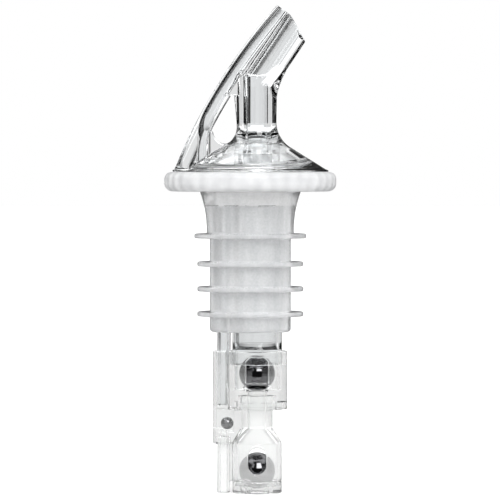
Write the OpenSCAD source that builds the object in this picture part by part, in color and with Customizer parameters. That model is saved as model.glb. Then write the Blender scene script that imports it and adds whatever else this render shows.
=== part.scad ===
// Measured liquor pourer with a three-ball metering valve.
// The origin is on the cork's axis in the plane of the collar's underside, where the bottle's lip stops.
// +Z points up out of the bottle, +X points towards the pouring lip.

/* [Fits] */
// Radial clearance between pieces that plug together
slip = 0.04; // [0.02:0.01:0.08]
// Room between a resting or seated ball and its seat
seat_gap = 0.12; // [0.08:0.01:0.2]
// Offset of the metering line from the cork's axis
main_x = 1.5; // [1:0.1:2]
// Wall left between the metering tube and the breather tube
line_gap = 0.35; // [0.3:0.05:0.6]
// Width of the slot that joins the sockets of the two tubes
socket_slot = 1.2; // [0.8:0.1:1.6]

/* [Balls] */
// Diameter of the cut-off ball and of the check ball
ball_d = 7.94; // [7.4:0.01:8.3]
// Diameter of the breather ball
air_ball_d = 2.78; // [2.4:0.01:2.9]

/* [Collar] */
// Outside diameter of the collar over its lobes
collar_d = 37.8; // [36.6:0.1:42]
// Thickness of the collar
collar_h = 4.3; // [3.6:0.1:6]
// Number of lobes round the rim
collar_lobes = 36; // [24:1:42]
// Depth of the grooves between the lobes
lobe_depth = 0.16; // [0.1:0.01:0.3]
// Radius of the grooves between the lobes
groove_r = 2.4; // [1.5:0.1:3]
// Radius of the rim's upper edge
rim_round_r = 1.5; // [1:0.1:1.8]
// Radius of the rim's lower edge
under_round_r = 1.8; // [1.2:0.1:1.8]

/* [Cork] */
// Length of the cork below the collar
cork_l = 30.9; // [29:0.1:36]
// Diameter of the cork's body between its fins
cork_d = 17.8; // [17.2:0.1:18.6]
// Diameter of the cork's mouth under the collar
cork_mouth_d = 22.2; // [20.5:0.1:24]
// Diameter of the cork's neck just above the first fin
cork_neck_d = 19.1; // [18.6:0.1:20]
// Diameter of the first fin
first_fin_d = 24.6; // [23.5:0.1:26]
// Diameter of the other fins, which grip the bottle's bore
fin_d = 23.3; // [22:0.1:25]
// Thickness of a fin
fin_t = 1.0; // [0.8:0.05:1.3]
// Depth of the first fin below the collar
first_fin_z = 9.8; // [9:0.1:11]
// Distance from the first fin to the second
second_fin_gap = 6.15; // [5:0.05:7]
// Distance between the lower fins
fin_pitch = 5.5; // [4.5:0.1:6]
// Depth of the cork's mouth in the collar's underside
cork_seat = 0.5; // [0.3:0.1:0.8]
// Thickness of the cork's end, which grips both tubes
cork_end_t = 4.4; // [3:0.1:6]
// Radius of the cork's lower edge
cork_edge_r = 0.8; // [0.5:0.1:1]

/* [Spout] */
// Diameter of the lip that stands on the collar
lip_d = 34.1; // [33:0.1:36]
// Thickness of that lip
lip_t = 0.4; // [0.3:0.05:0.8]
// Diameter of the riser at the top of the bell
riser_d = 8.5; // [7.6:0.1:9]
// Diameter of the riser at its flat top
riser_top_d = 8.7; // [8.6:0.1:9.2]
// Height of that flat top above the bend
riser_rise = 1.7; // [1.5:0.1:2]
// Radius of the throat where the pouring tube leans away from the riser
throat_r = 22; // [18:1:24]
// Height of the bell above the collar
bell_h = 10.9; // [10.2:0.1:12]
// Radius of the bell's hollow curve
bell_fillet_r = 6.5; // [5.5:0.1:7.5]
// Slope of the bell's flank
bell_slope = 32; // [29:1:35]
// Height of the bend above the collar
bend_h = 19.4; // [18:0.1:21]
// Lean of the pouring tube from upright
lean = 33.7; // [31:0.1:36]
// Diameter of the pouring tube
pour_d = 7.46; // [7:0.01:8]
// Bore of the riser and the pouring tube
pour_bore_d = 4.4; // [3.4:0.1:4.8]
// Height of the tip above the collar
spout_h = 36.65; // [34:0.05:38]
// Reach of the tip's upper corner in front of the cork's axis
tip_x = 5.87; // [5:0.01:7]
// Slope of the square-cut end of the tip
tip_slope = 38; // [34:1:42]
// Width of that square-cut end
tip_land = 3.8; // [3:0.1:5]
// Slope of the drip edge cut across the pouring tube
drip_slope = 60.8; // [56:0.1:64]
// Distance of the duct's heel from the edge of the lip
heel_inset = 0.3; // [0.25:0.05:0.6]
// Radius of the breather duct's curved back
back_r = 125; // [110:1:150]
// Outside diameter of the breather duct
duct_d = 3.8; // [3.4:0.1:4]
// Bore of the breather duct
duct_bore_d = 2.2; // [1.6:0.1:2.4]
// Offset of the duct's upright foot behind the cork's axis
foot_x = 10.6; // [10:0.1:10.8]
// Radius of the breather bore's bend into that foot
duct_bend_r = 15; // [10:1:18]
// Thickness of the webs beside the duct's foot
web_t = 2.4; // [1.8:0.1:3]
// Thickness of the web between the duct and the pouring tube
upper_web_t = 3.3; // [2.8:0.1:3.3]
// Radius of the round lower end of the gap between the duct and the riser
gap_r = 2.7; // [2.4:0.1:2.9]
// Height of that round end's centre above the collar
gap_h = 8.9; // [8.4:0.1:10]
// Height of the gap's top above the collar
gap_top_h = 16.9; // [16:0.1:17.5]
// Draft of the gap's side at the riser
gap_draft = 0.85; // [0.5:0.05:1.2]
// Wall of the bell over its air chamber
bell_wall = 1.3; // [1.1:0.1:1.5]
// Wall of the boss round the riser's bore in the air chamber
boss_wall = 2.85; // [2.6:0.05:3]
// Width of the ledge that the tube plate's flange seats on
plate_ledge = 0.6; // [0.4:0.1:0.8]

/* [Tube plate] */
// Diameter of the plate's flange in the spout's base
plate_d = 24.4; // [24.1:0.1:24.8]
// Thickness of that flange
plate_t = 0.8; // [0.6:0.1:1]
// Depth of the plate's plug below the collar's underside
plug_depth = 3.1; // [2.5:0.1:4]
// Wall of the plug outside the tubes
plug_wall = 0.5; // [0.4:0.05:0.6]
// Depth of the metering tube's end above the collar's underside
tube_top = 1.0; // [0.6:0.1:1.2]
// Half angle of the cut-off ball's seat
seat_angle = 40; // [38:1:44]
// Wall of the spigot that enters the riser
spigot_wall = 1.0; // [0.7:0.1:1.1]
// Height of that spigot
spigot_h = 2.6; // [2:0.1:3]

/* [Tubes] */
// Room between the cut-off ball and the metering tube's bore
ball_run = 0.48; // [0.4:0.02:0.6]
// Wall of the metering tube
tube_wall = 1.0; // [0.8:0.05:1.1]
// Widening of the tube's bore at its lower end
lead_in = 0.35; // [0.2:0.05:0.45]
// Length of that wider bore
lead_in_l = 3.4; // [2.6:0.1:5]
// Length of tube that shows between the cork and the cage
tube_show = 4.2; // [3:0.1:6]
// Outside diameter of the breather tube
air_tube_d = 3.1; // [2.9:0.05:3.2]
// Bore of the breather tube
air_bore_d = 1.8; // [1.4:0.1:2]

/* [Ball cage] */
// Wall of the cage round the metering tube
cage_wall = 1.15; // [1:0.05:1.4]
// Depth of tube held in the cage
tube_grip = 3.0; // [2.6:0.1:4]
// Height of the cut-off ball's room below the tube
ball_room_h = 5.6; // [5.2:0.1:6.5]
// Thickness of the cage's floor
floor_t = 1.2; // [1:0.1:1.6]
// Width of the inlet window in front of the ball
window_w = 4.8; // [4:0.1:5]
// Height of the inlet window
window_h = 5.4; // [4.8:0.1:5.8]
// Width of the window's bevelled upper corners
window_bevel = 0.85; // [0.5:0.05:1]
// Height of the bar between the window and the drain slot
window_bar = 0.5; // [0.4:0.05:0.8]
// Width of the drain slot at the floor
slot_w = 5.7; // [5.2:0.1:6]
// Height of the drain slot
slot_h = 1.35; // [1:0.05:1.5]
// Length of the slot's pointed ends
slot_point = 0.5; // [0.3:0.05:0.6]
// Depth of the hollow round the cage's foot
skirt_h = 1.6; // [1:0.1:2]
// Walls on both sides of that hollow
skirt_t = 1.0; // [0.8:0.1:1.2]
// Wall of the column round the breather tube
column_wall = 0.85; // [0.7:0.05:0.95]
// Drop of the column below the cage
column_drop = 7.6; // [7.2:0.1:9]
// Chamfer round the column's lower end
column_chamfer = 0.8; // [0.5:0.1:0.8]
// Room across the breather ball's pocket
pocket_w = 3.8; // [3.6:0.1:3.9]
// Height of that pocket at its low side
pocket_h = 5.9; // [5.2:0.1:6.4]
// Slope of the pocket's floor
pocket_slope = 12; // [8:1:16]
// Thickness of the pocket's floor at its low side
pocket_floor_t = 1.0; // [0.8:0.1:1.2]
// Room in front of and behind the breather ball
pocket_room = 0.15; // [0.1:0.01:0.2]
// Depth of the thinned panel in front of the pocket
panel_depth = 0.35; // [0.2:0.05:0.4]

/* [Check chamber] */
// Room between the check ball and its chamber
check_run = 0.38; // [0.3:0.02:0.5]
// Wall of the chamber
chamber_wall = 1.05; // [0.9:0.05:1.3]
// Diameter of the neck that plugs into the cage
neck_d = 6.8; // [6:0.1:7]
// Bore of the neck
neck_bore_d = 3.6; // [3:0.1:4.2]
// Length of neck held in the cage
neck_grip = 3.0; // [2.6:0.1:4]
// Length of neck that shows
neck_show = 4.1; // [3.6:0.1:5]
// Height of the cone below the neck
cone_h = 3.3; // [3:0.1:4]
// Depth of the top of the check ball's seat below the top of the cone
seat_top_drop = 0.4; // [0.3:0.05:0.6]
// Depth of the foot of that seat below the foot of the cone
seat_end_drop = 0.2; // [0.1:0.05:0.4]
// Height of the chamber below the cone
chamber_h = 8.4; // [8:0.1:10]
// Width of the chamber's port
port_w = 4.0; // [3.4:0.1:4.6]
// Height of the port
port_h = 5.8; // [5:0.1:6.4]
// Distance from the cone to the port
port_drop = 0.9; // [0.6:0.1:1.4]
// Diameter of the breather leg
leg_d = 2.8; // [2.6:0.1:2.9]
// Bore of the breather leg
leg_bore_d = 1.4; // [1:0.1:1.6]
// Length of leg held in the column
leg_grip = 1.6; // [1.2:0.1:2]
// Thickness of the web between the leg and the chamber
leg_web_t = 0.9; // [0.7:0.1:1.2]
// Room between the column and the neck and cone beside it
column_room = 0.15; // [0.1:0.01:0.2]

/* [Ball retainer] */
// Height of the retainer ring
retainer_h = 2.6; // [2.2:0.1:3.4]
// Lap of the ring over the chamber's end
lap_h = 1.0; // [0.8:0.1:1.2]
// Hole that the check ball rests over
retainer_hole_d = 4.8; // [4:0.1:5.2]
// Width of the locking lug
lug_w = 2.4; // [2:0.1:2.6]
// Height of the locking lug
lug_h = 3.2; // [2.8:0.1:3.4]
// Height of the lug over the ring's surface
lug_proud = 0.4; // [0.3:0.05:0.6]
// Offset of the lug from the chamber's axis
lug_offset = 2.4; // [1.8:0.1:2.6]
// Height of the lug above the ring's foot
lug_foot = 0.15; // [0.1:0.05:0.4]
// Diameter of the dimple in the lug
dimple_d = 0.9; // [0.6:0.1:1.2]

/* [Hidden] */
$fn = 72;
past = 1;
far = 60;
arc_steps = 8;

// Points of a circular arc
function arc(c, r, a0, a1, n = arc_steps) =
    [for (i = [0 : n]) let (a = a0 + (a1 - a0) * i / n) c + r * [cos(a), sin(a)]];

// Points of a curve that leaves a towards b and arrives at c
function bend(a, b, c, n = arc_steps) =
    [for (i = [0 : n]) let (t = i / n) (1 - t) * (1 - t) * a + 2 * t * (1 - t) * b + t * t * c];

// Angle of a point seen from a centre
function angle_from(c, p) = atan2(p[1] - c[1], p[0] - c[0]);

ball_r = ball_d / 2;
air_ball_r = air_ball_d / 2;

// Metering tube and breather tube, side by side
tube_bore_r = ball_r + ball_run;
tube_r = tube_bore_r + tube_wall;
air_tube_r = air_tube_d / 2;
air_x = main_x - tube_r - line_gap - air_tube_r;

// Plate that carries both tubes
plug_r = max(main_x + tube_r, air_tube_r - air_x) + plug_wall;
plate_top = collar_h + plate_t;
seat_top = tube_top + (tube_bore_r - pour_bore_d / 2) / tan(seat_angle);
air_stop = collar_h - plate_t;
spigot_r = pour_bore_d / 2 + spigot_wall;
shut_z = tube_top + tube_bore_r / tan(seat_angle) - ball_r / sin(seat_angle) - seat_gap;

// Levels of the cage, from its top down
cage_r = tube_r + cage_wall;
cage_top = -cork_l - tube_show;
tube_end = cage_top - tube_grip;
floor_z = tube_end - ball_room_h;
neck_stop = floor_z - floor_t;
cage_end = neck_stop - neck_grip;
column_end = cage_end - column_drop;
column_r = air_tube_r + column_wall;
neck_bore_r = neck_bore_d / 2;
open_z = floor_z + sqrt(ball_r * ball_r - neck_bore_r * neck_bore_r) + seat_gap;

// Breather ball's pocket in the column
leg_stop = column_end + leg_grip;
pocket_low = leg_stop + pocket_floor_t;
pocket_top = pocket_low + pocket_h;
pocket_x0 = air_x - air_tube_r;
pocket_x1 = pocket_x0 + pocket_w;
pocket_y = air_ball_r + pocket_room;
air_rest_x = pocket_x1 - air_ball_r - seat_gap;
air_rest_rise = (pocket_x1 - air_rest_x) * tan(pocket_slope) + air_ball_r / cos(pocket_slope);
air_rest_z = pocket_low + air_rest_rise + seat_gap;
column_x1 = main_x - neck_d / 2;

// Levels of the check chamber, from its neck down
neck_end = cage_end - neck_show;
cone_end = neck_end - cone_h;
chamber_bore_r = ball_r + check_run;
chamber_r = chamber_bore_r + chamber_wall;
chamber_end = cone_end - chamber_h;
cone_seat_top = neck_end - seat_top_drop;
cone_seat_end = cone_end - seat_end_drop;
cone_angle = atan((chamber_bore_r - neck_bore_r) / (cone_seat_top - cone_seat_end));
check_shut_z = cone_seat_top + neck_bore_r / tan(cone_angle) - ball_r / sin(cone_angle) - seat_gap;
foot_z = chamber_end - retainer_h;
lap_r = (chamber_bore_r + chamber_r) / 2;
lap_end = chamber_end - lap_h;
check_rest_z = lap_end + sqrt(ball_r * ball_r - retainer_hole_d * retainer_hole_d / 4) + seat_gap;

// Spout: the circle of the duct's back runs through its heel on the lip and the tip's upper corner
tip_z = collar_h + spout_h;
bend_z = collar_h + bend_h;
lip_top = collar_h + lip_t;
heel = [heel_inset - lip_d / 2, lip_top];
tip = [tip_x, tip_z];
chord = tip - heel;
back_drop = sqrt(back_r * back_r - chord * chord / 4);
back_c = (heel + tip) / 2 + back_drop * [chord[1], -chord[0]] / norm(chord);
duct_r = duct_d / 2;
duct_path_r = back_r - duct_r;
spare_angle = 1.2 * duct_d / back_r * 180 / PI;
heel_angle = angle_from(back_c, heel) + spare_angle;
tip_angle = angle_from(back_c, tip) - spare_angle;
foot_angle = 180 - acos((back_c[0] + foot_x) / duct_path_r);
foot_turn = back_c + duct_path_r * [cos(foot_angle), sin(foot_angle)];
duct_bend_room = duct_path_r - duct_bend_r;
duct_bend_run = duct_bend_r - foot_x - back_c[0];
duct_bend_rise = sqrt(duct_bend_room * duct_bend_room - duct_bend_run * duct_bend_run);
duct_bend_c = back_c + [duct_bend_run, duct_bend_rise];
bell_top = collar_h + bell_h;
flank_start = [riser_d / 2 + bell_fillet_r * (1 - sin(bell_slope)),
               bell_top - bell_fillet_r * cos(bell_slope)];
flank_end = flank_start[0] + (flank_start[1] - lip_top) / tan(bell_slope);

// Upright cylinder between two levels
module post(x, r, z0, z1) {
    translate([x, 0, min(z0, z1)]) cylinder(r = r, h = abs(z1 - z0));
}

// Cone between two levels
module taper(x, z0, r0, z1, r1) {
    translate([x, 0, z0]) cylinder(r1 = r0, r2 = r1, h = z1 - z0);
}

// Outline in the XZ plane, given thickness along Y
module slab(t) {
    rotate([90, 0, 0]) linear_extrude(height = t, center = true) children();
}

// Half space above a plane that falls away towards +X
module above(p, slope) {
    translate([p[0], 0, p[1]]) rotate([0, slope, 0])
        translate([-far, -far, 0]) cube([2 * far, 2 * far, far]);
}

// Round rod along an arc in the XZ plane
module arc_rod(c, path_r, r, a0, a1) {
    translate([c[0], 0, c[1]]) rotate([90, 0, 0]) rotate([0, 0, a0])
        rotate_extrude(angle = a1 - a0) translate([path_r, 0]) circle(r = r);
}

// Rod along the leaning axis of the pouring tube
module pour_path(r, l0, l1) {
    translate([main_x, 0, bend_z]) rotate([0, lean, 0])
        translate([0, 0, l0]) cylinder(r = r, h = l1 - l0);
}

// Bell on the lip: a cone that a hollow curve leads into the riser
module bell() {
    fillet_c = [riser_d / 2 + bell_fillet_r, bell_top];
    translate([main_x, 0, 0]) rotate_extrude() difference() {
        polygon([[0, lip_top], [flank_end, lip_top], flank_start, fillet_c, [0, bell_top]]);
        translate(fillet_c) circle(r = bell_fillet_r);
    }
}

// Webs that join the duct to the riser and the pouring tube, with a drop-shaped gap between them
module duct_webs(pour_end) {
    lap = duct_r / 2;
    side_x = main_x - riser_d / 2;
    gap_z = collar_h + gap_h;
    gap_top = [side_x - gap_draft, collar_h + gap_top_h];
    gap_angle = 180 - asin((gap_top[1] - back_c[1]) / duct_path_r);
    slab(web_t) {
        polygon(concat(arc(back_c, duct_path_r, foot_angle - 1, heel_angle),
                       [[lap - foot_x, collar_h - past], [lap - foot_x, foot_turn[1]]]));
        difference() {
            translate([-foot_x, collar_h - past]) square([foot_x + main_x, gap_h + past]);
            translate([side_x - gap_r, gap_z]) circle(r = gap_r);
        }
        polygon([[main_x, gap_z], [side_x, gap_z], gap_top, [main_x, gap_top[1]]]);
    }
    slab(upper_web_t)
        polygon(concat([[main_x, gap_top[1]], gap_top], arc(back_c, duct_path_r, gap_angle, tip_angle),
                       [pour_end, [main_x, bend_z]]));
}

module pour_spout() {
    pour_l = norm(tip - [main_x, bend_z]) + pour_d;
    pour_end = [main_x, bend_z] + pour_l * [sin(lean), cos(lean)];
    riser_top = bend_z + riser_rise;
    throat_path_r = throat_r + pour_d / 2;
    throat_c = [main_x + throat_path_r, bend_z - throat_path_r * tan(lean / 2)];
    duct_bore_r = duct_bore_d / 2;
    bend_angle = angle_from(back_c, duct_bend_c);
    bend_lap = 2;
    air_room_r = plate_d / 2 - plate_ledge;
    boss_r = pour_bore_d / 2 + boss_wall;
    color("aliceblue") difference() {
        union() {
            post(0, lip_d / 2, collar_h, lip_top);
            bell();
            taper(main_x, bell_top - past, riser_d / 2, riser_top, riser_top_d / 2);
            pour_path(pour_d / 2, -pour_d / 4, pour_l);
            arc_rod(throat_c, throat_path_r, pour_d / 2 - slip, 180 - lean, 180);
            duct_webs(pour_end);
            post(-foot_x, duct_r, collar_h, foot_turn[1]);
            arc_rod(back_c, duct_path_r, duct_r, tip_angle, heel_angle);
        }
        above(tip, tip_slope);
        above(tip + tip_land * [cos(tip_slope), -sin(tip_slope)], drip_slope);
        translate([-far, -far, collar_h - far]) cube([2 * far, 2 * far, far]);
        // Pouring bore
        post(main_x, pour_bore_d / 2, collar_h, riser_top);
        pour_path(pour_bore_d / 2 - slip, 0, pour_l);
        // Breather bore
        arc_rod(back_c, duct_path_r, duct_bore_r, tip_angle, bend_angle);
        arc_rod(duct_bend_c, duct_bend_r, duct_bore_r - slip, bend_angle - bend_lap, 180 + bend_lap);
        post(-foot_x, duct_bore_r, collar_h, duct_bend_c[1]);
        // Air chamber round the riser, seat of the plate and socket of its spigot
        difference() {
            intersection() {
                post(0, air_room_r, collar_h, bell_top);
                translate([0, 0, -bell_wall / cos(bell_slope)]) bell();
            }
            post(main_x, boss_r, collar_h, bell_top);
        }
        post(0, plate_d / 2 + slip, collar_h - past, plate_top);
        post(main_x, spigot_r + slip, collar_h, plate_top + spigot_h);
    }
}

module tube_plate() {
    color("azure") difference() {
        union() {
            post(0, plate_d / 2, collar_h, plate_top);
            post(0, plug_r, -plug_depth, collar_h);
            post(main_x, spigot_r, collar_h, plate_top + spigot_h);
        }
        post(main_x, tube_r + slip, -plug_depth - past, tube_top);
        taper(main_x, tube_top, tube_bore_r, seat_top, pour_bore_d / 2);
        post(main_x, pour_bore_d / 2, seat_top, plate_top + spigot_h + past);
        post(air_x, air_tube_r + slip, -plug_depth - past, air_stop);
        post(air_x, air_bore_d / 2, air_stop, plate_top + past);
    }
}

module collar() {
    rim_r = collar_d / 2;
    hole_r = plug_r + slip;
    color("gainsboro") difference() {
        rotate_extrude() {
            translate([hole_r, 0]) square([rim_r - under_round_r - hole_r, collar_h]);
            translate([rim_r - under_round_r, under_round_r]) circle(r = under_round_r);
            translate([rim_r - rim_round_r, collar_h - rim_round_r]) circle(r = rim_round_r);
            translate([hole_r, under_round_r])
                square([rim_r - hole_r, collar_h - rim_round_r - under_round_r]);
            translate([hole_r, under_round_r])
                square([rim_r - rim_round_r - hole_r, collar_h - under_round_r]);
        }
        post(0, cork_mouth_d / 2 + slip, -past, cork_seat);
        for (i = [0 : collar_lobes - 1])
            rotate(i * 360 / collar_lobes)
                post(rim_r + groove_r - lobe_depth, groove_r, -past, collar_h + past);
    }
}

// Thin disc with rounded corners and a narrow land at its rim
module fin(d, z) {
    corner = 0.3 * fin_t;
    core = cork_d / 2 - past;
    land = fin_t - 2 * corner;
    translate([0, 0, z]) rotate_extrude() {
        translate([core, -fin_t / 2]) square([d / 2 - corner - core, fin_t]);
        translate([core, -land / 2]) square([d / 2 - core, land]);
        for (s = [-1, 1]) translate([d / 2 - corner, s * land / 2]) circle(r = corner);
    }
}

module cork() {
    flare_knee = [cork_neck_d / 2, -first_fin_z / 4];
    room_r = plug_r - plug_wall + 2 * slip;
    color("lightgray") difference() {
        union() {
            rotate_extrude()
                polygon(concat([[0, -cork_l]],
                               arc([cork_d / 2 - cork_edge_r, cork_edge_r - cork_l], cork_edge_r, -90, 0),
                               [[cork_d / 2, -first_fin_z]],
                               bend([cork_neck_d / 2, -first_fin_z], flare_knee, [cork_mouth_d / 2, 0], 20),
                               [[cork_mouth_d / 2, cork_seat], [0, cork_seat]]));
            fin(first_fin_d, -first_fin_z);
            for (i = [0 : 2]) fin(fin_d, -first_fin_z - second_fin_gap - i * fin_pitch);
        }
        post(0, plug_r + slip, -plug_depth - slip, cork_seat + past);
        post(0, room_r, cork_end_t - cork_l, -plug_depth);
        post(main_x, tube_r + slip, -cork_l - past, -plug_depth - past);
        post(air_x, air_tube_r + slip, -cork_l - past, -plug_depth - past);
        translate([air_x, -socket_slot / 2, -cork_l - past])
            cube([main_x - air_x, socket_slot, cork_end_t + 2 * past]);
    }
}

module metering_tube() {
    step_z = tube_end + lead_in_l;
    step_h = 4 * lead_in;
    color("lightcyan") difference() {
        post(main_x, tube_r, tube_end, tube_top);
        post(main_x, tube_bore_r, tube_end - past, tube_top + past);
        post(main_x, tube_bore_r + lead_in, tube_end - past, step_z);
        taper(main_x, step_z, tube_bore_r + lead_in, step_z + step_h, tube_bore_r);
    }
}

module breather_tube() {
    color("lightblue") difference() {
        post(air_x, air_tube_r, pocket_top, air_stop);
        post(air_x, air_bore_d / 2, pocket_top - past, air_stop + past);
    }
}

// Window with a drain slot below it, cut through the front and the back of the cage
module inlet_ports() {
    window_low = floor_z + slot_h + window_bar;
    window_top = window_low + window_h;
    half = slot_w / 2;
    translate([main_x, 0, 0]) slab(2 * cage_r + 2 * past) {
        difference() {
            translate([-window_w / 2, window_low]) square([window_w, window_h]);
            for (s = [-1, 1])
                translate([s * window_w / 2, window_top]) rotate(45)
                    square(window_bevel * sqrt(2), center = true);
        }
        translate([0, floor_z])
            polygon([[-half, slot_h / 2], [slot_point - half, 0], [half - slot_point, 0],
                     [half, slot_h / 2], [half - slot_point, slot_h], [slot_point - half, slot_h]]);
    }
}

// Breather column: round at the back, flat towards the neck
module column() {
    column_h = cage_top - column_end;
    chamfer_top = column_end + column_chamfer;
    difference() {
        union() {
            post(air_x, column_r, column_end, cage_top);
            translate([air_x, -column_r, column_end]) cube([column_x1 - air_x, 2 * column_r, column_h]);
        }
        difference() {
            post(air_x, column_r + past, column_end - past, chamfer_top);
            taper(air_x, column_end - past, column_r - column_chamfer - past, chamfer_top, column_r);
            translate([air_x, -far, column_end - past]) cube([far, 2 * far, far]);
        }
    }
}

module ball_cage() {
    color("whitesmoke") difference() {
        union() {
            post(main_x, cage_r, cage_end, cage_top);
            column();
        }
        // Metering tube's socket, ball room, floor hole and neck socket
        post(main_x, tube_r + slip, tube_end, cage_top + past);
        post(main_x, tube_bore_r, floor_z, tube_end);
        post(main_x, neck_bore_r, neck_stop, floor_z);
        post(main_x, neck_d / 2 + slip, cage_end - past, neck_stop);
        inlet_ports();
        // Hollow round the foot
        difference() {
            post(main_x, cage_r - skirt_t, cage_end - past, cage_end + skirt_h);
            post(main_x, neck_d / 2 + skirt_t, cage_end - past, cage_end + skirt_h);
            translate([-far, -column_r, cage_end - far]) cube([far + column_x1, 2 * column_r, 2 * far]);
        }
        // Breather tube's bore, pocket with its sloping floor, air hole and leg socket
        post(air_x, air_tube_r + slip, pocket_top, cage_top + past);
        translate([air_x, -socket_slot / 2, tube_end])
            cube([main_x - air_x, socket_slot, tube_grip + past]);
        slab(2 * pocket_y)
            polygon([[pocket_x0, pocket_top], [pocket_x1, pocket_top], [pocket_x1, pocket_low],
                     [pocket_x0, pocket_low + pocket_w * tan(pocket_slope)]]);
        post(air_x, leg_bore_d / 2, leg_stop, pocket_top);
        post(air_x, leg_d / 2 + slip, column_end - past, leg_stop);
        for (s = [-1, 1])
            translate([pocket_x0, s * column_r - panel_depth, pocket_low])
                cube([pocket_w, 2 * panel_depth, cage_end - pocket_low]);
        // Room for the neck and the cone beside the column
        post(main_x, neck_d / 2 + column_room, column_end - past, cage_end);
        taper(main_x, cone_end + column_room, chamber_r + column_room,
              neck_end + column_room, neck_d / 2 + column_room);
        post(main_x, chamber_r + column_room, column_end - past, cone_end + column_room);
    }
}

module check_chamber() {
    port_top = cone_end - port_drop;
    port_low = port_top - port_h;
    color("ghostwhite") difference() {
        union() {
            post(main_x, neck_d / 2, neck_end, neck_stop);
            taper(main_x, cone_end, chamber_r, neck_end, neck_d / 2);
            post(main_x, chamber_r, chamber_end, cone_end);
            post(main_x, lap_r, lap_end, chamber_end);
            post(air_x, leg_d / 2, foot_z, leg_stop);
            translate([air_x, -leg_web_t / 2, chamber_end])
                cube([main_x - air_x, leg_web_t, column_end - column_room - chamber_end]);
        }
        post(main_x, neck_bore_r, cone_seat_top, neck_stop + past);
        taper(main_x, cone_seat_end, chamber_bore_r, cone_seat_top, neck_bore_r);
        post(main_x, chamber_bore_r, lap_end - past, cone_seat_end);
        post(air_x, leg_bore_d / 2, foot_z - past, leg_stop + past);
        // Ports in front and behind
        translate([main_x, 0, 0]) slab(2 * chamber_r + 2 * past) {
            for (z = [port_top - port_w / 2, port_low + port_w / 2])
                translate([0, z]) circle(r = port_w / 2);
            translate([-port_w / 2, port_low + port_w / 2]) square([port_w, port_h - port_w]);
        }
    }
}

module ball_retainer() {
    lug_x = main_x - lug_offset;
    lug_z = foot_z + lug_h / 2 + lug_foot;
    dimple_r = dimple_d / 2;
    color("snow") difference() {
        union() {
            post(main_x, chamber_r, foot_z, chamber_end);
            // Oval locking lug, which laps over the chamber's end
            intersection() {
                translate([lug_x, 0, lug_z]) rotate([90, 0, 0]) linear_extrude(height = far) {
                    for (s = [-1, 1]) translate([0, s * (lug_h - lug_w) / 2]) circle(r = lug_w / 2);
                    square([lug_w, lug_h - lug_w], center = true);
                }
                post(main_x, chamber_r + lug_proud, foot_z, lug_z + lug_h);
            }
        }
        post(main_x, lap_r + slip, lap_end, chamber_end);
        post(main_x, chamber_r, chamber_end, chamber_end + lug_h);
        post(main_x, retainer_hole_d / 2, foot_z - past, lap_end);
        translate([lug_x, -chamber_r + dimple_r, lug_z]) rotate([90, 0, 0]) cylinder(r = dimple_r, h = far);
    }
}

module cutoff_ball() {
    color("silver") translate([main_x, 0, open_z]) sphere(r = ball_r);
}

module check_ball() {
    color("silver") translate([main_x, 0, check_rest_z]) sphere(r = ball_r);
}

module breather_ball() {
    color("silver") translate([air_rest_x, 0, air_rest_z]) sphere(r = air_ball_r);
}

pour_spout();
tube_plate();
collar();
cork();
metering_tube();
breather_tube();
ball_cage();
check_chamber();
ball_retainer();
cutoff_ball();
check_ball();
breather_ball();
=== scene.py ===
import math
import bpy
import numpy as np
import openvdb
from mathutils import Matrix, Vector


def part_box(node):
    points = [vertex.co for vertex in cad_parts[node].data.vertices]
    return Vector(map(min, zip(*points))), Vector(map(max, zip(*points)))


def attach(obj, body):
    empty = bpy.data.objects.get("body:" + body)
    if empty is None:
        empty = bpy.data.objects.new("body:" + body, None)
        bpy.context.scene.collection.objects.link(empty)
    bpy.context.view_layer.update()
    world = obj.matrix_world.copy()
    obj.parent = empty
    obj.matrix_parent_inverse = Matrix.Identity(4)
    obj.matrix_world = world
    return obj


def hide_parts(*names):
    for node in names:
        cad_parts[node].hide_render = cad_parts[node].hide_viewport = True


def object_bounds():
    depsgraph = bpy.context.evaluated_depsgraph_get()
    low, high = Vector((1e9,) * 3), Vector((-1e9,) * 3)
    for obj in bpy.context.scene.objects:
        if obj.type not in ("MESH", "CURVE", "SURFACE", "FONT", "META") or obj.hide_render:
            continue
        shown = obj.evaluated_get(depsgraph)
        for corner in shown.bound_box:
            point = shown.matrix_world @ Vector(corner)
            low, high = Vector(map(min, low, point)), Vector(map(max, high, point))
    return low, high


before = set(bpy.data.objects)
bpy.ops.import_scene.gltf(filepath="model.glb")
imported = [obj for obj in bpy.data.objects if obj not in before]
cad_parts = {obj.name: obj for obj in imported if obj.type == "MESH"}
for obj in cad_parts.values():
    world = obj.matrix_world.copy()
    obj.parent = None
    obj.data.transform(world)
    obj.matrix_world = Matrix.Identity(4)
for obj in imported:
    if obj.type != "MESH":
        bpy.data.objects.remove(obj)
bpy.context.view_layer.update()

# Cork
# A soft frosted moulding with a flared mouth and four thin fins, which bend in the bottle's neck and grip.
# Both tubes are pushed through it, and its mouth takes the plug of the tube plate.
MM = 0.001
tube_axis_x = 1.5
tube_outer_r = 5.45
breather_x = -5.85
breather_outer_r = 1.55
slip = 0.04
plug_r = 7.9
plug_foot_z = -3.1
socket_slot_w = 1.2
socket_edge_r = 0.2
cork_r = 8.9
cork_neck_r = 9.55
cork_mouth_r = 11.1
cork_flare_power = 2.4
cork_foot_z = -30.9
cork_foot_round_r = 0.8
cork_seat = 0.5
cork_seat_edge_r = 0.15
cork_room_r = 7.48
cork_end_t = 4.4
cork_voxel = 0.18
first_fin_z = -9.8
fins = [(first_fin_z, 12.3)] + [(-15.95 - 5.5 * i, 11.65) for i in range(3)]
fin_t = 1.0
fin_edge_r = 0.3
fin_fillet_r = 0.4
cut_overlap = 0.5


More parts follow.
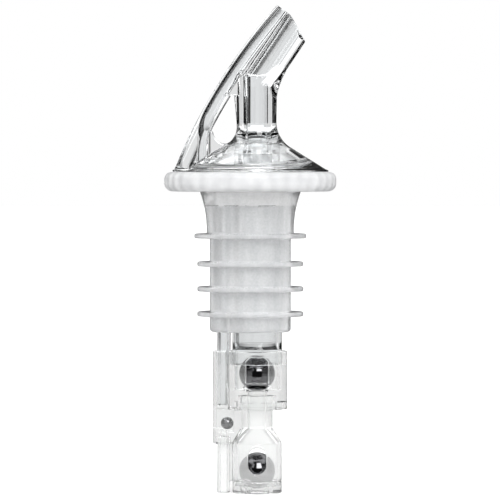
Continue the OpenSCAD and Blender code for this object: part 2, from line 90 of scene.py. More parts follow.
def round_and(a, b, r):
    """What lies inside both shapes, with the edge between them rounded to a radius r."""
    return np.minimum(np.maximum(a, b), -r) + np.hypot(np.maximum(a + r, 0), np.maximum(b + r, 0))


def round_or(a, b, r):
    """What lies inside either shape, with a fillet of radius r between them."""
    return np.maximum(np.minimum(a, b), r) - np.hypot(np.maximum(r - a, 0), np.maximum(r - b, 0))


def round_cut(a, b, r):
    """Shape a without shape b, with the edge of the cut rounded to a radius r."""
    return round_and(a, -b, r)


def post(x, y, centre_x, r):
    """Distance to an endless upright cylinder."""
    return np.hypot(x - centre_x, y) - r


def layer(z, low, high):
    """Distance to the space between two levels."""
    return np.maximum(low - z, z - high)


def block(x, y, low, high):
    """Distance to an endless bar of rectangular section."""
    return np.maximum(layer(x, low[0], high[0]), layer(y, low[1], high[1]))


def mould(name, shape, low, high, voxel):
    """Mesh of the surface where shape(x, y, z) is zero, with the shape's own normals. Sizes are in mm."""
    margin = 3 * voxel
    settling_rounds = 3
    start = np.array(low, float) - margin
    counts = np.ceil((np.array(high, float) + margin - start) / voxel).astype(int) + 1
    lines = [start[i] + voxel * np.arange(counts[i]) for i in range(3)]
    x, y, z = (line.astype(np.float32) for line in lines)
    field = shape(x[:, None, None], y[None, :, None], z[None, None, :])
    grid = openvdb.FloatGrid(10 * voxel)
    grid.copyFromArray(np.array(np.broadcast_to(field, counts), np.float32))
    points, quads = grid.convertToQuads(0.0)
    points = start + points.astype(float) * voxel

    def slope(p):
        step = 0.02 * voxel
        parts = []
        for axis in range(3):
            shift = step * np.eye(3)[axis]
            parts.append((shape(*(p + shift).T) - shape(*(p - shift).T)) / (2 * step))
        return np.stack(parts, 1)

    for _ in range(settling_rounds):
        lean = slope(points)
        away = np.clip(shape(*points.T), -voxel, voxel) / np.maximum((lean * lean).sum(1), 0.2)
        points = points - lean * away[:, None]
    lean = slope(points)
    normals = lean / np.maximum(np.linalg.norm(lean, axis=1), 1e-6)[:, None]
    corners = points[quads]
    across = np.cross(corners[:, 2] - corners[:, 0], corners[:, 3] - corners[:, 1])
    if (across * normals[quads[:, 0]]).sum() < 0:
        quads = quads[:, ::-1]
    mesh = bpy.data.meshes.new(name)
    mesh.from_pydata((points * MM).tolist(), [], quads.tolist())
    mesh.update()
    mesh.shade_smooth()
    mesh.normals_split_custom_set_from_vertices(normals.tolist())
    piece = bpy.data.objects.new(name, mesh)
    bpy.context.scene.collection.objects.link(piece)
    return piece


def cork_shape(x, y, z):
    around = np.hypot(x, y)
    flare = (cork_mouth_r - cork_neck_r) * np.clip(1 - z / first_fin_z, 0, 1) ** cork_flare_power
    width = np.where(z > first_fin_z, cork_neck_r + flare, cork_r)
    body = round_and(around - width, cork_foot_z - z, cork_foot_round_r)
    body = round_and(body, z - cork_seat, cork_seat_edge_r)
    for level, r in fins:
        fin = round_and(around - r, np.abs(z - level) - fin_t / 2, fin_edge_r)
        body = round_or(body, fin, fin_fillet_r)
    plug = np.maximum(post(x, y, 0, plug_r + slip), plug_foot_z - slip - z)
    sockets = np.minimum(post(x, y, tube_axis_x, tube_outer_r + slip),
                         post(x, y, breather_x, breather_outer_r + slip))
    slot = block(x, y, (breather_x, -socket_slot_w / 2), (tube_axis_x, socket_slot_w / 2))
    sockets = round_or(sockets, slot, socket_edge_r)
    sockets = np.maximum(sockets, z - cork_foot_z - cork_end_t - 2 * cut_overlap)
    room = np.maximum(around - cork_room_r, layer(z, cork_foot_z + cork_end_t, plug_foot_z + cut_overlap))
    return round_cut(body, np.minimum(np.minimum(plug, room), sockets), socket_edge_r)


class Paint:
    """One output of a shader node. Operators on it add Math nodes to its tree."""

    def __init__(self, tree, socket=None):
        self.tree = tree
        self.socket = socket

    def feed(self, place, value):
        """Links an output to a socket, or sets the socket to a plain value."""
        if isinstance(value, Paint):
            self.tree.links.new(value.socket, place)
        else:
            place.default_value = value

    def node(self, kind, settings=None, sockets=None, output=None):
        """A new node with its settings, then its sockets' values or links. Returns the output asked for."""
        made = self.tree.nodes.new(kind)
        for key, value in (settings or {}).items():
            setattr(made, key, value)
        for key, value in (sockets or {}).items():
            self.feed(next(s for s in made.inputs if s.name == key and s.enabled), value)
        shown = [s for s in made.outputs if s.enabled and output in (None, s.name)]
        return Paint(self.tree, shown[0])

    def math(self, operation, *values):
        made = self.tree.nodes.new("ShaderNodeMath")
        made.operation = operation
        for place, value in zip(made.inputs, values):
            self.feed(place, value)
        return Paint(self.tree, made.outputs[0])

    def __add__(self, other):
        return self.math("ADD", self, other)

    def __sub__(self, other):
        return self.math("SUBTRACT", self, other)

    def __rsub__(self, other):
        return self.math("SUBTRACT", other, self)

    def __mul__(self, other):
        return self.math("MULTIPLY", self, other)

    def __truediv__(self, other):
        return self.math("DIVIDE", self, other)

    __radd__ = __add__
    __rmul__ = __mul__

    def mix(self, low, high):
        """The colour low where this value is 0 and high where it is 1."""
        return self.node("ShaderNodeMix", {"data_type": "RGBA"}, {"Factor": self, "A": low, "B": high})

    def place(self):
        """The point on the piece, in metres."""
        return self.node("ShaderNodeTexCoord", output="Object")

    def along(self, vector, axis):
        """One coordinate of a vector: X, Y or Z."""
        return self.node("ShaderNodeSeparateXYZ", {}, {"Vector": vector}, axis)

    def noise(self, scale, detail=3.0, stretch=(1, 1, 1)):
        """Cloudy values about 0.5 with so many clouds to a metre."""
        place = self.node("ShaderNodeMapping", {}, {"Vector": self.place(), "Scale": stretch})
        return self.node("ShaderNodeTexNoise", {}, {"Vector": place, "Scale": scale, "Detail": detail})

    def bump(self, height, strength, distance):
        """A normal that follows a height, which is worth so many metres."""
        return self.node("ShaderNodeBump", {},
                         {"Height": height, "Strength": strength, "Distance": distance})


def finish(name, sockets, varying):
    """A material with a Principled shader: sockets that are the same all over, then those that vary."""
    made = bpy.data.materials.new(name)
    made.use_nodes = True
    tree = made.node_tree
    shader = tree.nodes["Principled BSDF"]
    for key, value in sockets.items():
        shader.inputs[key].default_value = value
    for key, value in varying(Paint(tree)).items():
        tree.links.new(value.socket, shader.inputs[key])
    return made


def dress(piece, made, *nodes):
    """Gives a piece its material and lets it stand for CAD nodes of the fixed body."""
    piece.data.materials.clear()
    piece.data.materials.append(made)
    if nodes:
        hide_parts(*nodes)
        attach(piece, "pourer_body")
    return piece


cork_grey = (0.74, 0.75, 0.76, 1)
cork_white = (0.97, 0.97, 0.97, 1)
# Painted shade: a grey line drawn round the cork at the level where the plug's foot lies inside it.
painted_plug_shade_grey = (0.35, 0.36, 0.37, 1)
painted_plug_shade_half_h = 0.13
painted_plug_shade_strength = 0.7
fine_relief = 0.0001


def cork_paint(p):
    streak = p.noise(420, 2.0, (1, 1, 0.12))
    grain = p.noise(2200, 3.0)
    z = p.along(p.place(), "Z") / MM
    # Painted light: the cork is painted lighter above the plug's foot, and a broken line of painted shade
    # marks that level. The streaks and grain are random tone.
    painted_light_above_plug = p.math("GREATER_THAN", z, plug_foot_z)
    broken = p.math("GREATER_THAN", p.noise(330), 0.5)
    painted_plug_edge_shade = p.math("COMPARE", z, plug_foot_z, painted_plug_shade_half_h) * broken
    mottle_and_painted_shading = streak * 1.5 + grain * 1.2 - 0.95 + 0.4 * painted_light_above_plug
    frost_and_painted_light = mottle_and_painted_shading.mix(cork_grey, cork_white)
    return {"Base Color": (painted_plug_shade_strength * painted_plug_edge_shade).mix(frost_and_painted_light, painted_plug_shade_grey),
            "Roughness": 0.08 + 0.05 * streak,
            "Normal": p.bump(grain, 0.02, fine_relief)}


frosted_cork = finish("frosted_cork", {"Transmission Weight": 0.68, "IOR": 1.2}, cork_paint)
low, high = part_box("cork")
cork = mould("finned_cork", cork_shape, low / MM, high / MM, cork_voxel)
dress(cork, frosted_cork, "cork")

# Collar
# A frosted ring that stops the pourer on the bottle's lip, with shallow scallops round its rim to grip.
# It is pressed over the plug of the tube plate, between the cork and the spout.
collar_r = 18.9
collar_h = 4.3
collar_top_gap = 0.05
scallops = 36
scallop_depth = 0.16
rim_round_r = 1.5
under_round_r = 1.8
collar_seat_edge_r = 0.1
collar_bore_edge_r = 0.2
collar_voxel = 0.2
collar_grey = (0.63, 0.635, 0.645, 1)
collar_white = (0.81, 0.815, 0.82, 1)


def collar_shape(x, y, z):
    turn = np.arctan2(y, x)
    rim = collar_r - scallop_depth * (0.5 - 0.5 * np.cos(scallops * turn))
    around = np.hypot(x, y)
    ring = round_and(around - rim, z - collar_h + collar_top_gap, rim_round_r)
    ring = round_and(ring, -z, under_round_r)
    ring = round_cut(ring, np.maximum(around - cork_mouth_r - slip, z - cork_seat), collar_seat_edge_r)
    return round_cut(ring, around - plug_r - slip, collar_bore_edge_r)


def collar_paint(p):
    cloud = p.noise(260)
    grain = p.noise(1600, 2.0)
    place = p.place()
    turn = p.math("ARCTAN2", p.along(place, "Y"), p.along(place, "X"))
    # Painted shade: the colour is darkened in the scallops' grooves, on top of the random cloudy tone.
    painted_groove_shade = 0.5 - 0.5 * p.math("COSINE", turn * scallops)
    mottle_and_painted_shading = cloud * 1.8 - 0.4 - 0.3 * painted_groove_shade
    return {"Base Color": mottle_and_painted_shading.mix(collar_grey, collar_white),
            "Roughness": 0.25 + 0.15 * cloud,
            "Normal": p.bump(grain, 0.1, fine_relief)}


frosted_collar = finish("frosted_collar", {"Transmission Weight": 0.2, "IOR": 1.4}, collar_paint)
low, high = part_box("collar")
collar = mould("scalloped_collar", collar_shape, low / MM, high / MM, collar_voxel)
dress(collar, frosted_collar, "collar")

# Tube plate
# A frosted plate in the spout's base that carries both tubes and holds the cut-off ball's conical seat.
# Its spigot enters the riser and its flange closes the air chamber of the spout.
plate_grey = (0.95, 0.955, 0.96, 1)
plate_white = (0.99, 0.99, 0.99, 1)
plate_depth = 0.002


def plate_paint(p):
    cloud = p.noise(300)
    return {"Base Color": cloud.mix(plate_grey, plate_white),
            "Roughness": 0.3 + 0.1 * cloud}


frosted_plate = finish("frosted_plate", {"Subsurface Weight": 1.0, "Subsurface Radius": (1, 1, 1),
                                         "Subsurface Scale": plate_depth, "IOR": 1.45}, plate_paint)
dress(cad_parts["tube_plate"], frosted_plate)

# Spout
# One clear moulding: a bell on the collar, an upright riser, a leaning pouring tube cut off at its tip,
# and behind it the breather duct, whose curved back runs from the tip down to the edge of the bell.
lip_r = 17.05
lip_top = 4.7
plate_r = 12.2
plate_top = 5.1
plate_land = 0.6
riser_r = 4.25
riser_top_r = 4.4
riser_foot_wall = 0.8
bell_top = 15.2
bell_fillet_r = 6.5
bell_slope = math.radians(32)
bell_wall = 1.3
bend_z = 23.7
riser_top_z = 25.4
throat_r = 22
lean = math.radians(33.7)
pour_r = 3.73
pour_bore_r = 2.2
tip = np.array([5.87, 40.95])
tip_slope = math.radians(38)
tip_land = 3.8
tip_edge_r = 0.15
drip_slope = math.radians(60.8)
heel = np.array([0.3 - lip_r, lip_top])
back_r = 125
duct_r = 1.9
duct_bore_r = 1.1
duct_foot_x = -10.6
duct_bend_r = 15
duct_fillet_r = 0.4
web_t = 2.4
web_fillet_r = 0.3
web_overlap = 0.3
gap_r = 2.7
gap_z = 13.2
gap_top = np.array([-3.6, 21.2])
upper_web_t = 3.3
back_fillet_r = 0.5
spigot_r = 3.2
spigot_top = 7.7
spout_edge_r = 0.12
spout_fillet_r = 0.25
spout_foot_edge_r = 0.08
spout_voxel = 0.2
spout_clear = (0.97, 0.98, 0.985, 1)
chord = tip - heel
back_drop = math.sqrt(back_r ** 2 - chord @ chord / 4)
back_centre = (heel + tip) / 2 + back_drop * np.array([chord[1], -chord[0]]) / np.linalg.norm(chord)
duct_path_r = back_r - duct_r
duct_turn_z = back_centre[1] + math.sqrt(duct_path_r ** 2 - (duct_foot_x - back_centre[0]) ** 2)
bend_x = duct_foot_x + duct_bend_r
bend_centre = np.array([bend_x, back_centre[1] + math.sqrt((duct_path_r - duct_bend_r) ** 2
                                                           - (bend_x - back_centre[0]) ** 2)])
bend_way = (bend_centre - back_centre) / np.linalg.norm(bend_centre - back_centre)
throat_path_r = throat_r + pour_r
throat_l = throat_path_r * math.tan(lean / 2)
throat_centre = (tube_axis_x + throat_path_r, bend_z - throat_l)


def bell_shape(around, z):
    """Cone with a hollow curve up to the riser, as a distance in the plane of its profile."""
    curve = np.array([riser_r + bell_fillet_r, bell_top])
    start = curve - bell_fillet_r * np.array([math.sin(bell_slope), math.cos(bell_slope)])
    flank = (around - start[0]) * math.sin(bell_slope) + (z - start[1]) * math.cos(bell_slope)
    rise = np.clip((z - bell_top) / (riser_top_z - bell_top), 0, 1)
    riser = around - riser_r - (riser_top_r - riser_r) * rise
    hollow = bell_fillet_r - np.hypot(around - curve[0], z - curve[1])
    ahead = (around - curve[0]) * math.cos(bell_slope) - (z - curve[1]) * math.sin(bell_slope)
    inside = (z < curve[1]) & (ahead < 0)
    return np.where(inside, hollow, np.where(z < curve[1], flank, riser))


def below(x, z, point, slope):
    """Distance below a plane that falls away towards the pouring side."""
    return (x - point[0]) * math.sin(slope) + (z - point[1]) * math.cos(slope)


def spout_shape(x, y, z):
    around = np.hypot(x - tube_axis_x, y)
    along = (x - tube_axis_x) * math.sin(lean) + (z - bend_z) * math.cos(lean)
    aside = (x - tube_axis_x) * math.cos(lean) - (z - bend_z) * math.sin(lean)
    from_back = np.hypot(x - back_centre[0], z - back_centre[1])

    body = round_and(bell_shape(around, z), z - riser_top_z, spout_edge_r)
    body = round_or(body, round_and(np.hypot(x, y) - lip_r, z - lip_top, spout_edge_r), spout_fillet_r)
    pour = np.maximum(np.hypot(aside, y) - pour_r, -along - cut_overlap)
    from_throat = np.hypot(x - throat_centre[0], z - throat_centre[1])
    throat = np.hypot(from_throat - throat_path_r, y) - pour_r + slip
    throat = np.maximum(throat, np.maximum(throat_centre[1] - z, along - throat_l))
    body = round_or(body, np.minimum(pour, throat), spout_fillet_r)

    duct = np.hypot(from_back - duct_path_r, y) - duct_r
    foot = np.maximum(post(x, y, duct_foot_x, duct_r), z - duct_turn_z)
    flat = np.abs(y) - web_t / 2
    web = np.maximum(flat, np.maximum(from_back - duct_path_r, x - duct_foot_x))
    toe = np.maximum(np.maximum(flat, z - gap_z), layer(x, duct_foot_x, tube_axis_x))
    toe = round_cut(toe, np.hypot(x - tube_axis_x + riser_r + gap_r, z - gap_z) - gap_r, duct_fillet_r)
    rib_lean = (gap_top[0] - tube_axis_x + riser_r) * (z - gap_z) / (gap_top[1] - gap_z)
    rib_x = tube_axis_x - riser_r + rib_lean
    rib = np.maximum(flat, layer(z, gap_z, gap_top[1] + web_overlap))
    rib = np.maximum(rib, layer(x, rib_x, tube_axis_x))
    upper = np.maximum(np.maximum(np.abs(y) - upper_web_t / 2, gap_top[1] - z), from_back - duct_path_r)
    upper = np.maximum(upper, np.where(z < bend_z, x - tube_axis_x, aside))
    web = round_or(web, np.minimum(toe, rib), web_fillet_r)
    back = round_or(np.minimum(duct, foot), web, duct_fillet_r)
    body = round_or(round_or(body, back, back_fillet_r), upper, web_fillet_r)

    body = round_and(body, below(x, z, tip, tip_slope), tip_edge_r)
    corner = tip + tip_land * np.array([math.cos(tip_slope), -math.sin(tip_slope)])
    body = round_and(body, below(x, z, corner, drip_slope), tip_edge_r)
    body = round_and(body, collar_h - z, spout_foot_edge_r)

    bore = np.maximum(around - pour_bore_r, z - riser_top_z)
    bore = np.minimum(bore, np.maximum(np.hypot(aside, y) - pour_bore_r + slip, -along))
    from_bend = np.hypot(x - bend_centre[0], z - bend_centre[1])
    past_bend = (x - bend_centre[0]) * bend_way[1] - (z - bend_centre[1]) * bend_way[0] > 0
    off_path = np.where(z < bend_centre[1], x - duct_foot_x,
                        np.where(past_bend, from_back - duct_path_r, from_bend - duct_bend_r))
    breather = np.hypot(off_path, y) - duct_bore_r
    roof = bell_shape(around, z + bell_wall / math.cos(bell_slope))
    room = np.maximum(roof, np.hypot(x, y) - plate_r + plate_land)
    room = round_cut(room, around - riser_r - riser_foot_wall, web_fillet_r)
    seat = np.maximum(np.hypot(x, y) - plate_r - slip, z - plate_top)
    socket = np.maximum(around - spigot_r - slip, z - spigot_top)
    hollow = np.minimum(np.minimum(bore, breather), np.minimum(room, np.minimum(seat, socket)))
    return round_cut(body, hollow, spout_edge_r)


def clear_paint(p):
    wave = p.noise(140, 1.0)
    haze = p.noise(900)
    return {"Roughness": 0.01 * haze,
            "Normal": p.bump(wave, 0.06, 0.0004)}


clear_plastic = finish("clear_plastic", {"Transmission Weight": 1.0, "IOR": 1.53, "Base Color": spout_clear},
                       clear_paint)
low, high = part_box("pour_spout")
spout = mould("pouring_spout", spout_shape, low / MM, high / MM, spout_voxel)
dress(spout, clear_plastic, "pour_spout")

# Tubes
# Clear extruded tubes that reach from the tube plate through the cork down into the cage.
# The wide one holds the measure and guides the cut-off ball, the thin one brings air to the breather duct.
tube_bore_r = 4.45
tube_edge_r = 0.15
tube_voxel = 0.2
lead_in = 0.35
lead_in_l = 3.4
lead_in_taper = 4
breather_bore_r = 0.9
breather_edge_r = 0.12
breather_voxel = 0.15
tube_clear = (0.95, 0.96, 0.965, 1)


def metering_shape(x, y, z):
    foot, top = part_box("metering_tube")[0].z / MM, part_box("metering_tube")[1].z / MM
    around = np.hypot(x - tube_axis_x, y)
    widening = lead_in * np.clip(1 - (z - foot - lead_in_l) / (lead_in_taper * lead_in), 0, 1)
    tube = round_and(around - tube_outer_r, layer(z, foot, top), tube_edge_r)
    return round_cut(tube, around - tube_bore_r - widening, tube_edge_r)


def breather_shape(x, y, z):
    foot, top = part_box("breather_tube")[0].z / MM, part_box("breather_tube")[1].z / MM
    around = np.hypot(x - breather_x, y)
    tube = round_and(around - breather_outer_r, layer(z, foot, top), breather_edge_r)
    return round_cut(tube, around - breather_bore_r, breather_edge_r)


def tube_paint(p):
    drawn = p.noise(1500, 2.0, (1, 1, 0.02))
    haze = p.noise(700)
    return {"Roughness": 0.02 + 0.05 * haze,
            "Normal": p.bump(drawn, 0.1, fine_relief)}


clear_tube = finish("clear_tube", {"Transmission Weight": 1.0, "IOR": 1.5, "Base Color": tube_clear},
                    tube_paint)
for node, shape, voxel in (("metering_tube", metering_shape, tube_voxel),
                           ("breather_tube", breather_shape, breather_voxel)):
    low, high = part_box(node)
    tube = mould("clear_" + node, shape, low / MM, high / MM, voxel)
    dress(tube, clear_tube, node)

# Ball cage
# The milky upper housing, pushed on the metering tube. Its window and drain slot let the liquor in round
# the cut-off ball, and the column at its side holds the breather tube and the breather ball.
cage_r = 6.6
cage_foot_z = -47.9
cage_edge_r = 0.25
cage_voxel = 0.15
floor_z = -43.7
tube_foot_z = -38.1
neck_top_z = -44.9
neck_r = 3.4
neck_bore_r = 1.8
column_r = 2.4
column_flat_x = -1.9
column_foot_z = -55.5
column_edge_r = 0.3
pocket_low = (-7.4, -52.9)
pocket_high = (-3.6, -47.0)
pocket_slope = math.radians(12)
pocket_half_w = 1.54
leg_r = 1.4
leg_bore_r = 0.7
leg_top_z = -53.9
window_w = 4.8
window_z = (-41.85, -36.45)
window_bevel = 0.85
slot_w = 5.7
slot_h = 1.35
slot_taper = 0.75
skirt_h = 1.6
skirt_t = 1.0
panel_depth = 0.35
chamber_r = 5.4
neck_foot_z = -52.0
cone_foot_z = -55.3
column_room = 0.15
room_edge_r = 0.12
port_edge_r = 0.2
milk_grey = (0.95, 0.96, 0.955, 1)
milk_white = (0.99, 0.99, 0.99, 1)


def cage_shape(x, y, z):
    around = np.hypot(x - tube_axis_x, y)
    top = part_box("ball_cage")[1].z / MM
    drum = round_and(around - cage_r, layer(z, cage_foot_z, top), cage_edge_r)
    side = np.where(x < breather_x, np.hypot(x - breather_x, y), np.abs(y)) - column_r
    column = round_and(side, x - column_flat_x, column_edge_r)
    column = round_and(column, layer(z, column_foot_z, top), column_edge_r)
    body = round_or(drum, column, column_edge_r)

    sideways = np.abs(x - tube_axis_x)
    window = np.maximum(sideways - window_w / 2, layer(z, *window_z))
    bevel = (sideways - window_w / 2 + z - window_z[1] + window_bevel) * math.sqrt(0.5)
    from_slot = np.abs(z - floor_z - slot_h / 2)
    slot_end = (sideways - slot_w / 2 + slot_taper * from_slot) / math.hypot(1, slot_taper)
    slot = np.maximum(from_slot - slot_h / 2, slot_end)
    ports = np.minimum(np.maximum(window, bevel), slot)

    rooms = np.maximum(around - tube_outer_r - slip, tube_foot_z - z)
    rooms = np.minimum(rooms, np.maximum(around - tube_bore_r, floor_z - z))
    rooms = np.minimum(rooms, around - neck_bore_r)
    rooms = np.minimum(rooms, np.maximum(around - neck_r - slip, z - neck_top_z))
    ring = np.maximum(layer(around, neck_r + skirt_t, cage_r - skirt_t), z - cage_foot_z - skirt_h)
    ring = np.maximum(ring, column_flat_x - x)
    pocket = np.maximum(block(x, z, pocket_low, pocket_high), np.abs(y) - pocket_half_w)
    floor = (pocket_low[1] - z) * math.cos(pocket_slope) + (pocket_high[0] - x) * math.sin(pocket_slope)
    pocket = np.maximum(pocket, floor)
    air = np.maximum(post(x, y, breather_x, breather_outer_r + slip), pocket_high[1] - z)
    air = np.minimum(air, post(x, y, breather_x, leg_bore_r))
    air = np.minimum(air, np.maximum(post(x, y, breather_x, leg_r + slip), z - leg_top_z))
    gap = block(x, y, (breather_x, -socket_slot_w / 2), (tube_axis_x, socket_slot_w / 2))
    gap = np.maximum(gap, tube_foot_z - z)
    panel = block(x, z, pocket_low, (pocket_high[0], cage_foot_z))
    panel = np.maximum(panel, column_r - panel_depth - np.abs(y))
    spread = np.clip((neck_foot_z - z) / (neck_foot_z - cone_foot_z), 0, 1)
    cone = around - neck_r - (chamber_r - neck_r) * spread
    cone = np.maximum(cone - column_room, z - cage_foot_z)
    hollow = np.minimum(np.minimum(rooms, ring), np.minimum(pocket, np.minimum(air, gap)))
    hollow = np.minimum(hollow, np.minimum(panel, cone))
    return round_cut(round_cut(body, hollow, room_edge_r), ports, port_edge_r)


def milky_paint(p):
    cloud = p.noise(420)
    grain = p.noise(900, 2.0)
    return {"Base Color": cloud.mix(milk_grey, milk_white),
            "Roughness": 0.02 + 0.03 * cloud,
            "Normal": p.bump(grain, 0.01, fine_relief)}


milky_plastic = finish("milky_plastic", {"Transmission Weight": 0.95, "IOR": 1.22}, milky_paint)
low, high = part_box("ball_cage")
cage = mould("valve_cage", cage_shape, low / MM, high / MM, cage_voxel)
dress(cage, milky_plastic, "ball_cage")

# Check chamber
# The milky lower housing: a neck that plugs into the cage, a cone with the check ball's seat, a chamber
# with a port in front and behind, and the breather leg on a thin web beside it.
chamber_bore_r = 4.35
chamber_foot_z = -63.7
chamber_edge_r = 0.2
chamber_voxel = 0.15
lap_foot_z = -64.7
lap_r = 4.875
lap_overlap = 1
leg_foot_z = -66.3
leg_edge_r = 0.25
leg_web_t = 0.9
leg_fillet_r = 0.3
port_w = 4.0
port_z = (-62.0, -56.2)
seat_top_z = -52.4
seat_foot_z = -55.5
cone_squareness = 0.86
seat_squareness = 0.8


def chamber_shape(x, y, z):
    """The squareness of a cone turns a level distance into one square to its wall."""
    around = np.hypot(x - tube_axis_x, y)
    spread = np.clip((neck_foot_z - z) / (neck_foot_z - cone_foot_z), 0, 1)
    width = neck_r + (chamber_r - neck_r) * spread
    flank = (around - width) * cone_squareness
    body = round_and(flank, layer(z, chamber_foot_z, neck_top_z), chamber_edge_r)
    body = np.minimum(body, np.maximum(around - lap_r, layer(z, lap_foot_z, chamber_foot_z + lap_overlap)))
    leg = round_and(post(x, y, breather_x, leg_r), layer(z, leg_foot_z, leg_top_z), leg_edge_r)
    web = np.maximum(block(x, y, (breather_x, -leg_web_t / 2), (tube_axis_x, leg_web_t / 2)),
                     layer(z, chamber_foot_z, column_foot_z - column_room))
    body = round_or(body, round_or(leg, web, leg_fillet_r), leg_fillet_r)
    opening = np.clip((seat_top_z - z) / (seat_top_z - seat_foot_z), 0, 1)
    open_r = neck_bore_r + (chamber_bore_r - neck_bore_r) * opening
    hollow = np.minimum((around - open_r) * seat_squareness, post(x, y, breather_x, leg_bore_r))
    half = (port_z[1] - port_z[0] - port_w) / 2
    middle = (port_z[0] + port_z[1]) / 2
    port = np.hypot(x - tube_axis_x, np.maximum(np.abs(z - middle) - half, 0)) - port_w / 2
    return round_cut(round_cut(body, hollow, room_edge_r), port, port_edge_r)


low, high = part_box("check_chamber")
chamber_plastic = finish("chamber_plastic", {"Transmission Weight": 0.82, "IOR": 1.22}, milky_paint)
chamber = mould("check_valve_chamber", chamber_shape, low / MM, high / MM, chamber_voxel)
dress(chamber, chamber_plastic, "check_chamber")

# Ball retainer
# A milky ring that is snapped over the chamber's end and keeps the check ball in.
# It has an oval locking lug in front, with a dimple in it.
retainer_hole_r = 2.4
retainer_round_r = 0.3
retainer_edge_r = 0.1
retainer_voxel = 0.1
lug_x = -0.9
lug_half_w = 1.2
lug_half_h = 1.6
lug_proud = 0.4
lug_lift = 0.15
lug_edge_r = 0.15
lug_fillet_r = 0.2
dimple_r = 0.45


def retainer_shape(x, y, z):
    around = np.hypot(x - tube_axis_x, y)
    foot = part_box("ball_retainer")[0].z / MM
    ring = round_and(around - chamber_r, layer(z, foot, chamber_foot_z), retainer_round_r)
    lug_z = foot + lug_half_h + lug_lift
    straight = np.maximum(np.abs(z - lug_z) - lug_half_h + lug_half_w, 0)
    lug = np.maximum(np.hypot(x - lug_x, straight) - lug_half_w, y)
    lug = round_and(lug, around - chamber_r - lug_proud, lug_edge_r)
    ring = round_or(ring, lug, lug_fillet_r)
    hollow = np.maximum(around - lap_r - slip, layer(z, lap_foot_z, chamber_foot_z + cut_overlap))
    hollow = np.minimum(hollow, np.maximum(around - chamber_r, chamber_foot_z - z))
    hollow = np.minimum(hollow, around - retainer_hole_r)
    dimple = np.maximum(np.hypot(x - lug_x, z - lug_z) - dimple_r, y + chamber_r - dimple_r)
    return round_cut(ring, np.minimum(hollow, dimple), retainer_edge_r)


retainer_plastic = finish("retainer_plastic", {"Transmission Weight": 0.9, "IOR": 1.46}, milky_paint)
low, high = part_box("ball_retainer")
retainer = mould("snap_retainer", retainer_shape, low / MM, high / MM, retainer_voxel)
dress(retainer, retainer_plastic, "ball_retainer")

# Balls
# Three polished steel balls: the cut-off ball in the cage, the check ball in the chamber and the small
# breather ball in the column. They roll freely; each stays a CAD node of its own and only gets its material.
# Painted shade: the steel's colour is set far darker than polished steel, standing in for the dark
# surroundings the balls would reflect. The worn noise varies it at random.
steel_painted_shade_low = (0.09, 0.09, 0.094, 1)
steel_painted_shade_high = (0.13, 0.13, 0.135, 1)


def steel_paint(p):
    worn = p.noise(900, 4.0)
    return {"Base Color": worn.mix(steel_painted_shade_low, steel_painted_shade_high),
            "Roughness": 0.04 + 0.08 * worn}


ball_steel = finish("ball_steel", {"Metallic": 1.0}, steel_paint)
for node in ("cutoff_ball", "check_ball", "breather_ball"):
    dress(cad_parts[node], ball_steel)

# Studio
# A white floor and surround with soft lamps. Dark screens stand beside and behind the pourer, the same on
# two opposite sides, and draw the dark lines in the clear plastic. A soft box in front shows in the steel.
floor_z_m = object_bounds()[0].z
floor_half = 6.0
floor_grey = (0.8, 0.8, 0.8, 1)
floor_glow = (0.08, 0.08, 0.08, 1)
no_glow = (0, 0, 0, 1)
floor_mesh = bpy.data.meshes.new("floor")
floor_corners = [(i * floor_half, j * floor_half, floor_z_m)
                 for i, j in ((-1, -1), (1, -1), (1, 1), (-1, 1))]
floor_mesh.from_pydata(floor_corners, [], [(0, 1, 2, 3)])
floor = bpy.data.objects.new("floor", floor_mesh)
bpy.context.scene.collection.objects.link(floor)
floor.visible_glossy = False
floor.visible_transmission = False


def floor_paint(p):
    seen = p.node("ShaderNodeLightPath", output="Is Camera Ray")
    return {"Emission Color": seen.mix(no_glow, floor_glow)}


floor_white = finish("floor_white", {"Base Color": floor_grey, "Roughness": 0.9, "Specular IOR Level": 0.0,
                                     "Emission Strength": 1.0}, floor_paint)
floor_mesh.materials.append(floor_white)

ambient = 1.2
ambient_inside = 1.6
surround_level = 1.35
surround_dark = 0.04
box_bearing = -76
box_seen_through = 7
box_mirrored = 9
top_glow = 2
foot_glow = 1.6
soft_edge = 3
screens = [(0.45, 19, 90, -14, 14), (0.45, -90, -19, -14, 14), (1, -90, -19, -2.2, 24),
           (1, 66, 90, -2.2, 24), (1, -90, -40, 16, 40), (1, 55, 90, 16, 40)]
world = bpy.data.worlds.new("studio")
bpy.context.scene.world = world
world.use_nodes = True
p = Paint(world.node_tree)
direction = p.node("ShaderNodeTexCoord", output="Generated")
east, north, up = (p.along(direction, axis) for axis in "XYZ")
turn = p.math("ARCTAN2", north, east) * math.degrees(1)
height = p.math("ARCSINE", up) * math.degrees(1)
aside = p.math("WRAP", 90 - turn, 90, -90)


def ramp(value, start, end):
    """0 at the start, 1 at the end and a smooth step between them."""
    return p.node("ShaderNodeMapRange", {"interpolation_type": "SMOOTHSTEP"},
                  {"Value": value, "From Min": start, "From Max": end})


def screen(start, end, foot, top):
    """1 inside a patch of the surround between two bearings and two heights, in degrees."""
    across = ramp(aside, start - soft_edge, start) * ramp(aside, end + soft_edge, end)
    return across * ramp(height, foot - 1, foot) * ramp(height, top + soft_edge, top)


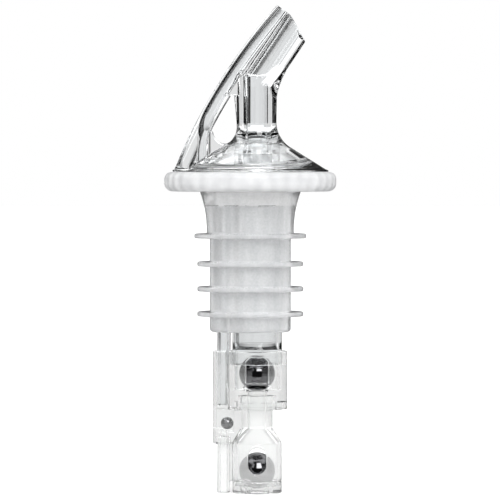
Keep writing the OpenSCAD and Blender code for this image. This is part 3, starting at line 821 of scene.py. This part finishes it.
behind = 0.4 * ramp(height, -10, -5) + 0.58 * ramp(height, 2, 11)
dark = behind * ramp(p.math("ABSOLUTE", aside), 24, 18) * ramp(height, 28, 22)
for shade, start, end, foot, top in screens:
    dark = p.math("MAXIMUM", dark, shade * screen(start, end, foot, top))
box = ramp(p.math("ABSOLUTE", turn - box_bearing), 19, 15) * ramp(height, 14, 20) * ramp(height, 54, 48)
through = surround_level * (1 - dark) + box_seen_through * box + top_glow * ramp(height, 42, 52)
room = surround_dark + box_mirrored * box + foot_glow * ramp(height, -30, -42)
straight = p.node("ShaderNodeLightPath", output="Is Camera Ray")
scattered = p.math("GREATER_THAN", p.node("ShaderNodeLightPath", output="Diffuse Depth"), 0.5)
mirrored = p.math("LESS_THAN", p.node("ShaderNodeLightPath", output="Transmission Depth"), 0.5)
level = mirrored * room + (1 - mirrored) * through
diffuse = ambient * (ambient_inside - (ambient_inside - 1) * mirrored)
level = scattered * diffuse + (1 - scattered) * level
level = straight + (1 - straight) * level
world.node_tree.links.new(level.socket, world.node_tree.nodes["Background"].inputs["Strength"])
world.node_tree.nodes["Background"].inputs["Color"].default_value = (1, 1, 1, 1)

middle = Vector((-0.00007, 0, -0.0129))
lamps = [("key", (-0.55, -0.75, 0.55), 0.5, 1.2), ("fill", (0.7, -0.5, 0.2), 0.6, 0.4)]
for name, place, size, power in lamps:
    lamp = bpy.data.lights.new(name, "AREA")
    lamp.size = size
    lamp.energy = power
    stand = bpy.data.objects.new(name, lamp)
    stand.location = middle + Vector(place)
    stand.rotation_euler = (middle - stand.location).to_track_quat("-Z", "Y").to_euler()
    bpy.context.scene.collection.objects.link(stand)

view_w = 0.110
camera_distance = 0.9
camera_rise = math.radians(1.2)
lens = bpy.data.cameras.new("camera")
lens.sensor_width = 36
lens.lens = lens.sensor_width * camera_distance / view_w
lens.clip_start = 0.05
eye = bpy.data.objects.new("camera", lens)
eye.location = middle + camera_distance * Vector((0, -math.cos(camera_rise), math.sin(camera_rise)))
eye.rotation_euler = (middle - eye.location).to_track_quat("-Z", "Y").to_euler()
bpy.context.scene.collection.objects.link(eye)
bpy.context.scene.camera = eye
bpy.context.scene.view_settings.view_transform = "Standard"
